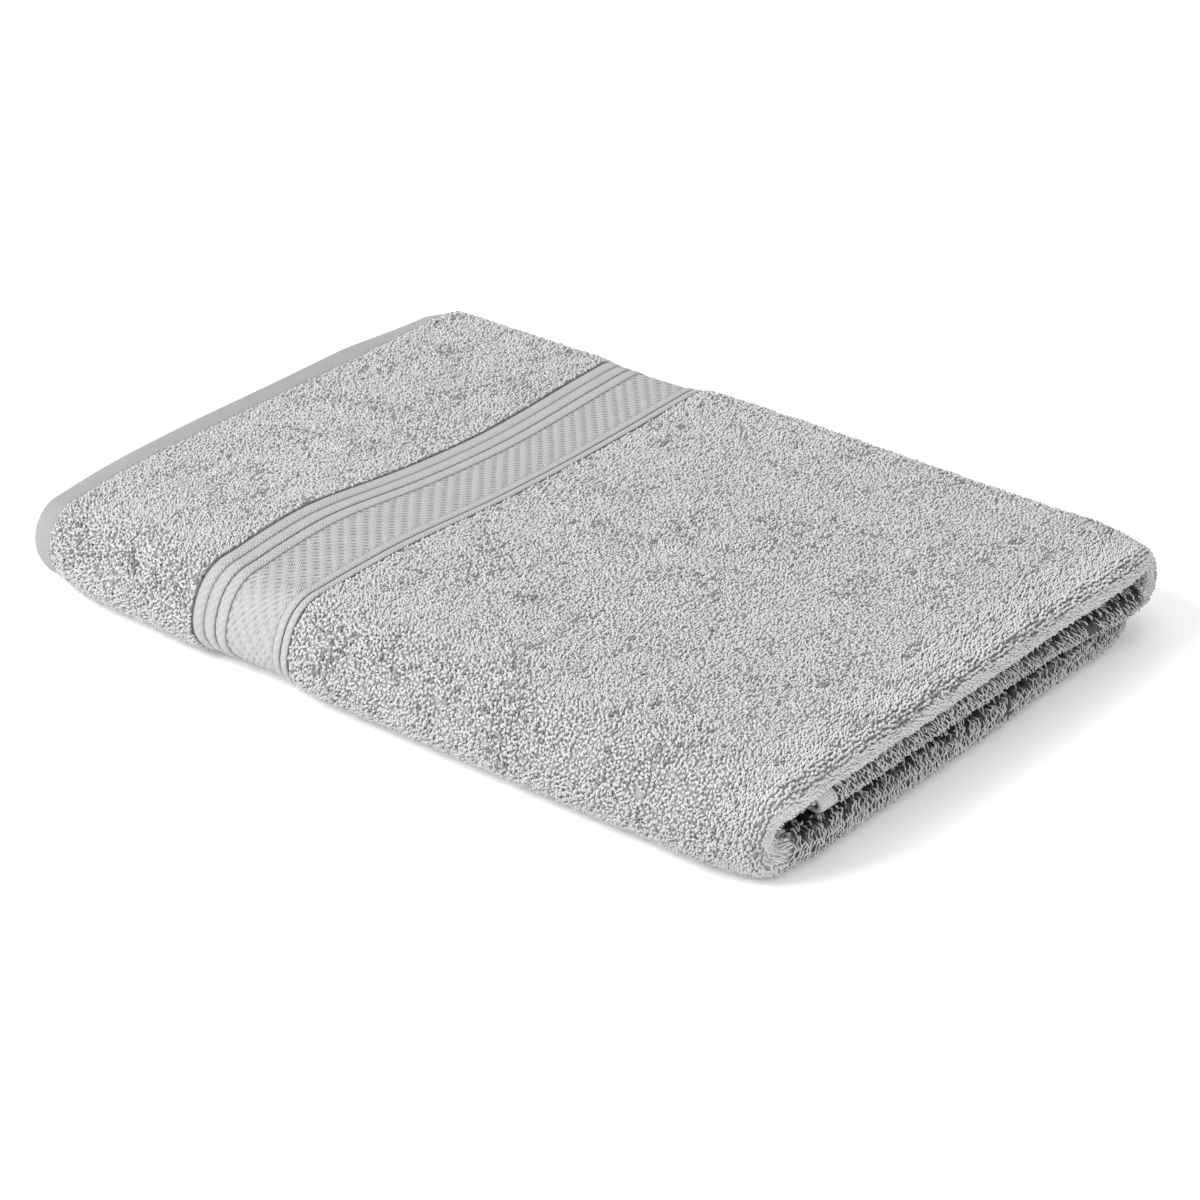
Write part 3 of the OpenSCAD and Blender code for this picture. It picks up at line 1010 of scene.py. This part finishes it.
def rounded_profile(v_low, v_high, n_low, n_high, radius, count=5):
    """A closed outline with rounded corners, as v and n arrays."""
    v, n = [], []
    centres = [
        (v_high - radius, n_low + radius, -90), (v_high - radius, n_high - radius, 0),
        (v_low + radius, n_high - radius, 90), (v_low + radius, n_low + radius, 180),
    ]
    for cv, cn, start in centres:
        angles = np.radians(start + np.linspace(0, 90, count))
        v.extend(cv + radius * np.cos(angles))
        n.extend(cn + radius * np.sin(angles))
    return np.array(v), np.array(n)


def cord_profile(v_low, v_high, n_low, n_high, points=13):
    """A closed outline of a flat-topped cord, with its painted light share: full on the crown, painted
    shade down its flanks and at its feet.
    """
    t = np.linspace(-1, 1, points)
    crown = n_low + (n_high - n_low) * (1 - np.abs(t) ** 2.6) ** 0.6
    v = (v_low + v_high) / 2 + t * (v_high - v_low) / 2
    foot = n_low - 0.35 * MM
    painted_light_share = np.clip((1 - np.abs(t)) / 0.3, 0, 1)
    n = np.concatenate([crown[::-1], [foot, foot]])
    return np.concatenate([v[::-1], [v_low, v_high]]), n, np.concatenate([painted_light_share[::-1], [0, 0]])


def from_end(distance, end):
    """Distance along the towel of a place that far from end a or b."""
    return distance if end == "a" else TOWEL_LENGTH - distance


class TOWEL_OT_borders(bpy.types.Operator):
    """Weave the two borders: a figured band between groups of cords"""

    bl_idname = "towel.borders"
    bl_label = "Borders"

    def execute(self, context):
        border = context.scene.towel_border
        material = border_material()
        for end in "ab":
            fine = end == "a"
            self.band(border, end, fine, material)
            self.cords(border, end, fine, material)
        return {"FINISHED"}

    def band(self, border, end, fine, material):
        far, near = math.pi * (FAR_R + STACK_H), math.pi * (NEAR_R + STACK_H)
        edge = SIDE_HEM_W * 0.5
        cuts = [edge, TOP_FROM - far, TOP_TO + near, TOWEL_WIDTH - edge]
        low = BORDER_V + border.outer_cords * border.outer_pitch
        high = BORDER_V + BORDER_W - border.inner_cords * border.inner_pitch
        for name, start, stop in zip(("tucked", "top", "bottom"), cuts, cuts[1:]):
            step = {"tucked": 4, "top": 0.5, "bottom": 0.9}[name] * MM if fine else 5 * MM
            spacing = min(step, 1.3 * MM) if name == "top" else step
            u = np.linspace(start, stop, math.ceil((stop - start) / spacing))
            across = np.linspace(low, high, 1 + math.ceil((high - low) / max(step, 0.38 * MM)))
            rims = [BORDER_V, low - 0.01 * MM]
            v = np.concatenate([rims, across, [high + 0.01 * MM, BORDER_V + BORDER_W]])
            grid_u, grid_v = np.meshgrid(u, v, indexing="ij")
            p = grid_u / border.figure_u - (grid_v - low) / border.figure_v
            q = grid_u / border.figure_u + (grid_v - low) / border.figure_v
            near_side = smooth_step(TOP_TO - 4 * MM, TOP_TO + 12 * MM, grid_u)
            columns = 0.5 + 0.5 * np.cos(2 * math.pi * p)
            slit = (1.2 - 0.45 * near_side) * bump(q, np.round(2 * q) / 2, 0.13) * columns ** 0.8
            slit += 0.22 * near_side * (1 - columns) * (0.5 + 0.5 * np.cos(2 * math.pi * q))
            seam = bump(grid_v, low + 0.5 * MM, 0.5 * MM)
            seam = seam + 0.75 * bump(grid_v, high - 0.5 * MM, 0.5 * MM)
            seam = seam * (0.6 + 0.4 * np.cos(4 * math.pi * grid_u / border.figure_u))
            inside = smooth_step(low, low + 1.5 * MM, grid_v)
            inside = inside * (1 - smooth_step(high - 1.5 * MM, high, grid_v))
            # Painted shade: the dimples between the diamonds and the seams beside the cords are sunk
            # into the face and also darkened through the tip attribute.
            dark = np.clip(slit * inside + seam, 0, 1)
            crown = 0.15 * MM * inside * (0.5 - 0.5 * np.cos(2 * math.pi * q))
            under_cords = (grid_v < low) | (grid_v > high)
            face_n = BAND_T / 2 + crown - border.figure_depth * dark - 0.45 * MM * under_cords
            back_n = np.full_like(face_n, -BAND_T / 2)
            band = slab(f"woven_band_{end}_{name}", u, from_end(v, end), face_n, back_n, 1 - dark)
            finish_pieces([band], material, [f"border_band_{end}"])

    def cords(self, border, end, fine, material):
        edge = SIDE_HEM_W * 0.6
        u = u_steps((2.5 if fine else 7.0) * MM, 0.9 * MM, edge, TOWEL_WIDTH - edge)
        inner_start = BORDER_V + BORDER_W - border.inner_cords * border.inner_pitch
        groups = [
            ("outer", BORDER_V, border.outer_cords, border.outer_pitch),
            ("inner", inner_start, border.inner_cords, border.inner_pitch),
        ]
        for group, start, count, pitch in groups:
            for i in range(count):
                low, high = start + i * pitch + 0.03 * pitch, start + (i + 1) * pitch - 0.03 * pitch
                v, n, painted_light_share = cord_profile(low, high, BAND_T / 2 - 0.4 * MM, CORD_TOP)
                name = f"woven_cord_{end}_{group}_{i + 1}"
                cord = sweep_across(name, u, from_end(v, end), n, painted_light_share)
                finish_pieces([cord], material, [f"border_cords_{end}"])


class TOWEL_OT_hems(bpy.types.Operator):
    """Turn and press the plain hems at the two ends and along the two sides"""

    bl_idname = "towel.hems"
    bl_label = "Hems"

    def execute(self, context):
        # Painted light: the side hems take a copy of the hem's colour made 1.7 times lighter, standing
        # in for the light on the selvedges.
        material, painted_light_side_material = hem_material("plain_hem"), hem_material("selvedge_painted_light", 1.7)
        half = HEM_T / 2
        u = u_steps(3 * MM, 1 * MM, 0, TOWEL_WIDTH)
        v, n = rounded_profile(0, END_HEM_W, -half, half, 0.45 * HEM_T)
        for end in "ab":
            hem = sweep_across(f"turned_hem_{end}", u, from_end(v, end), n)
            finish_pieces([hem], material, [f"end_hem_{end}"])
        along = v_steps(4 * MM, 0.7 * MM, 0.3 * MM, TOWEL_LENGTH - 0.3 * MM)
        ring_u, ring_n = rounded_profile(0, SIDE_HEM_W, -half, half, 0.45 * HEM_T)
        for name, side in (("tucked", ring_u), ("bottom", TOWEL_WIDTH - ring_u)):
            hem = sweep_along(f"turned_side_{name}", along, side, ring_n)
            finish_pieces([hem], painted_light_side_material, [f"side_hem_{name}"])
        return {"FINISHED"}


def stitches(name, u, v, du, dv, material, node):
    """Short rounded stitches on both faces of the cloth, centred on u, v and as long as du, dv."""
    shares = np.array([-0.5, -0.36, 0.36, 0.5])
    widths = np.array([0.35, 1.0, 1.0, 0.35])
    sinks = np.array([-0.28, 0, 0, -0.28]) * MM
    radius = 0.26 * MM
    turn = 2 * math.pi * np.arange(5) / 5
    length = math.hypot(du, dv)
    side_u, side_v = -dv / length, du / length
    parts = []
    for face in (1, -1):
        cu = u[:, None, None] + shares[None, :, None] * du
        cv = v[:, None, None] + shares[None, :, None] * dv
        across = radius * widths[None, :, None] * np.cos(turn)[None, None, :]
        lift = radius * widths[None, :, None] * np.sin(turn)[None, None, :]
        n = face * (HEM_T / 2 + 0.02 * MM + sinks[None, :, None]) + lift
        parts.append(np.stack(np.broadcast_arrays(cu + across * side_u, cv + across * side_v, n), -1))
    uvn = np.concatenate(parts).reshape(-1, 20, 3)
    quads = ring_quads(4, 5)
    caps = cap_triangles(4, 5)
    first = (np.arange(len(uvn)) * 20)[:, None, None]
    points = place(uvn[..., 0], uvn[..., 1], uvn[..., 2])
    flat = uvn[..., :2]
    caps = (caps[None] + first).reshape(-1, 3)
    piece = add_piece(name, points, quads[None] + first, caps, flat, np.ones(points.shape[:-1]))
    finish_pieces([piece], material, [node])


class TOWEL_OT_stitching(bpy.types.Operator):
    """Sew the hems down with rows of lockstitch"""

    bl_idname = "towel.stitching"
    bl_label = "Stitching"

    def execute(self, context):
        material = thread_material()
        pitch, length, inset = 2.8 * MM, 2.3 * MM, 2.0 * MM
        slant = 0.12 * length
        u = np.arange(SIDE_HEM_W, TOWEL_WIDTH - SIDE_HEM_W, pitch)
        for end in "ab":
            v = np.full_like(u, from_end(END_HEM_W - inset, end))
            node = f"end_stitching_{end}"
            stitches(f"stitches_end_{end}", u, v, length, slant, material, node)
        v = np.arange(END_HEM_W, TOWEL_LENGTH - END_HEM_W, pitch)
        for name, at in (("tucked", SIDE_HEM_W - inset), ("bottom", TOWEL_WIDTH - SIDE_HEM_W + inset)):
            u = np.full_like(v, at)
            node = f"side_stitching_{name}"
            stitches(f"stitches_side_{name}", u, v, slant, length, material, node)
        return {"FINISHED"}


# ---------------------------------------------------------------- stage


FLOOR_HALF = 15.0
SENSOR_WIDTH = 36


def add_area(name, place_at, aim, size, power):
    """A square soft light at a place, turned towards another place."""
    lamp = bpy.data.lights.new(name, "AREA")
    lamp.shape, lamp.size, lamp.energy = "SQUARE", size, power
    light = bpy.data.objects.new(name, lamp)
    light.location = place_at
    light.rotation_euler = (Vector(aim) - Vector(place_at)).to_track_quat("-Z", "Y").to_euler()
    bpy.context.scene.collection.objects.link(light)
    return light


def floor_material():
    """Plain pale studio floor."""
    material, nodes, links, shader = new_material("studio_floor", (0.9, 0.9, 0.9), 0.8, 0.0)
    shader.inputs["Emission Color"].default_value = (1, 1, 1, 1)
    shader.inputs["Emission Strength"].default_value = 0.15
    noise = nodes.new("ShaderNodeTexNoise")
    noise.inputs["Scale"].default_value = 4
    add_relief(nodes, links, shader, noise.outputs["Fac"], 0.02)
    return material


class TOWEL_OT_stage(bpy.types.Operator):
    """Set the floor, the soft studio light and the camera"""

    bl_idname = "towel.stage"
    bl_label = "Stage"

    def execute(self, context):
        scene, stage = context.scene, context.scene.towel_stage
        half = FLOOR_HALF
        mesh = bpy.data.meshes.new("studio_floor")
        corners = [(-half, -half, 0), (half, -half, 0), (half, half, 0), (-half, half, 0)]
        mesh.from_pydata(corners, [], [(0, 1, 2, 3)])
        floor = bpy.data.objects.new("studio_floor", mesh)
        floor.data.materials.append(floor_material())
        scene.collection.objects.link(floor)

        add_area("key_light", (-0.95, -1.5, 1.6), (0, 0, 0), size=1.2, power=60)
        add_area("top_light", (0.1, 0.2, 2.2), (0, 0, 0), size=1.8, power=14)
        add_area("end_light", (1.7, -0.9, 0.42), (0.1, 0, 0.02), size=0.9, power=10)
        world = bpy.data.worlds.new("studio")
        world.use_nodes = True
        world.node_tree.nodes["Background"].inputs["Color"].default_value = (1, 1, 1, 1)
        world.node_tree.nodes["Background"].inputs["Strength"].default_value = 0.6
        scene.world = world
        scene.view_settings.view_transform = "Standard"

        a, e, roll = stage.azimuth, stage.elevation, stage.roll
        back = Vector((math.sin(a) * math.cos(e), -math.cos(a) * math.cos(e), math.sin(e)))
        right = Vector((math.cos(a), math.sin(a), 0))
        up = back.cross(right)
        right_rolled = right * math.cos(roll) + up * math.sin(roll)
        up_rolled = up * math.cos(roll) - right * math.sin(roll)
        lens = bpy.data.cameras.new("camera")
        lens.lens = stage.lens
        lens.sensor_width = SENSOR_WIDTH
        lens.shift_x, lens.shift_y = 0.0105, 0.0048
        camera = bpy.data.objects.new("camera", lens)
        camera.location = back * stage.distance
        camera.rotation_euler = Matrix((right_rolled, up_rolled, back)).transposed().to_euler()
        scene.collection.objects.link(camera)
        scene.camera = camera
        return {"FINISHED"}


# ---------------------------------------------------------------- add-on

SETTINGS = {
    "towel_fold": TowelFold,
    "towel_pile": TowelPile,
    "towel_border": TowelBorder,
    "towel_colours": TowelColours,
    "towel_stage": TowelStage,
}
STEPS = (
    TOWEL_OT_stage,
    TOWEL_OT_cloth,
    TOWEL_OT_pile,
    TOWEL_OT_borders,
    TOWEL_OT_hems,
    TOWEL_OT_stitching,
)


class TOWEL_PT_panel(bpy.types.Panel):
    """Lists the towel's settings and the steps that build it"""

    bl_label = "Folded Towel"
    bl_idname = "TOWEL_PT_panel"
    bl_space_type = "VIEW_3D"
    bl_region_type = "UI"
    bl_category = "Towel"

    def draw(self, context):
        layout = self.layout
        for name, group in SETTINGS.items():
            box = layout.box()
            for setting in group.__annotations__:
                box.prop(getattr(context.scene, name), setting)
        for step in STEPS:
            layout.operator(step.bl_idname)


def register():
    for group in (*SETTINGS.values(), *STEPS, TOWEL_PT_panel):
        bpy.utils.register_class(group)
    for name, group in SETTINGS.items():
        setattr(bpy.types.Scene, name, PointerProperty(type=group))


def unregister():
    for name in SETTINGS:
        delattr(bpy.types.Scene, name)
    for group in reversed((*SETTINGS.values(), *STEPS, TOWEL_PT_panel)):
        bpy.utils.unregister_class(group)


def main():
    register()
    for step in STEPS:
        family, name = step.bl_idname.split(".")
        getattr(getattr(bpy.ops, family), name)()
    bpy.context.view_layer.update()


if __name__ == "__main__":
    main()
